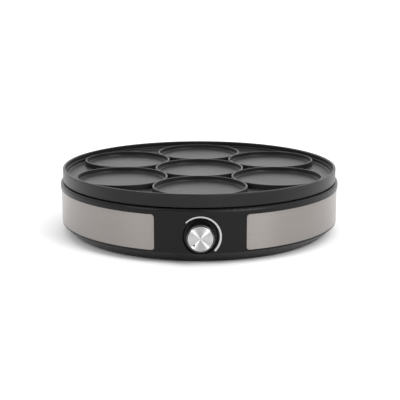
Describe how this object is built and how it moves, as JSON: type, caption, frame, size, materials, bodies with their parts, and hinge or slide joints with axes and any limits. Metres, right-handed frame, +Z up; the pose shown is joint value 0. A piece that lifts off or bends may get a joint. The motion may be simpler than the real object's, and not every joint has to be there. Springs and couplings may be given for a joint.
{
  "type": "electric griddle",
  "caption": "Round electric griddle with a lift-off non-stick plate of raised-rim pancake wells over a tubular element, steel side panels and a front thermostat knob.",
  "frame": {"origin": "on the floor under the middle of the round base", "axes": "+Z up; the knob faces -Y, the cord gland faces +Y, +X is to the right seen from the knob's side"},
  "size_m": [0.3836, 0.4013, 0.0885],
  "materials": {
    "black_housing": "satin moulded",
    "black_cover": "matt",
    "black_gland": "matt",
    "foot_rubber": "matt",
    "brushed_panel": "brushed along the panel",
    "silver_scale": "satin foil",
    "pan_steel": "mill finish",
    "element_tube": "heat-darkened",
    "zinc_steel": "zinc plated",
    "brass": "satin",
    "copper": "satin copper",
    "ceramic": "steatite, matt",
    "sleeve_white": "braided glass sleeve",
    "wire_brown": "silicone",
    "wire_blue": "silicone",
    "wire_green": "silicone",
    "knob_black": "satin moulded",
    "spun_cap": "spun in circles",
    "dot_black": "painted",
    "nonstick_coating": "non-stick coating on cast aluminium"
  },
  "bodies": {
    "base": {"housing": "black_housing", "bottom_cover": "black_cover", "rubber_feet": "foot_rubber", "cover_screws": "zinc_steel", "steel_panel_right": "brushed_panel", "steel_panel_left": "brushed_panel", "panel_push_nuts": "zinc_steel", "scale_arc": "silver_scale", "reflector_pan": "pan_steel", "plate_studs": "black_cover", "heating_element": "element_tube", "element_brackets": "pan_steel", "element_bushings": "brass", "element_nuts": "zinc_steel", "element_beads": "ceramic", "element_pins": "zinc_steel", "thermostat_bracket": "zinc_steel", "bracket_screws": "zinc_steel", "thermostat_case": "zinc_steel", "thermostat_nut": "zinc_steel", "thermostat_base": "ceramic", "thermostat_tabs": "brass", "thermostat_sensor": "copper", "sensor_clip": "zinc_steel", "thermal_fuse": "zinc_steel", "fuse_sleeve": "sleeve_white", "fuse_clip": "zinc_steel", "fuse_splices": "zinc_steel", "clip_screws": "zinc_steel", "tab_receptacles": "brass", "pin_receptacles": "brass", "earth_screw": "zinc_steel", "earth_ring": "brass", "earth_washer": "brass", "cord_gland": "black_gland", "gland_nut": "black_gland", "terminal_block": "ceramic", "terminal_clamps": "brass", "terminal_screws": "zinc_steel", "block_screws": "zinc_steel", "wire_live_in": "wire_brown", "wire_live_out": "wire_brown", "wire_neutral_in": "wire_blue", "wire_neutral_out": "wire_blue", "wire_earth": "wire_green"},
    "knob": {"thermostat_shaft": "zinc_steel", "knob_body": "knob_black", "knob_cap": "spun_cap", "knob_pointer": "dot_black", "knob_spring": "zinc_steel"},
    "plate": {"griddle_plate": "nonstick_coating"}
  },
  "joints": [
    {"name": "knob_turn", "type": "hinge", "parent": "base", "child": "knob", "pos_m": [0, -0.19, 0.0356], "axis": [0, 1, 0], "range_deg": [0, 270]},
    {"name": "plate_lift", "type": "slide", "parent": "base", "child": "plate", "axis": [0, 0, 1], "range_m": [0, 0.12]}
  ]
}
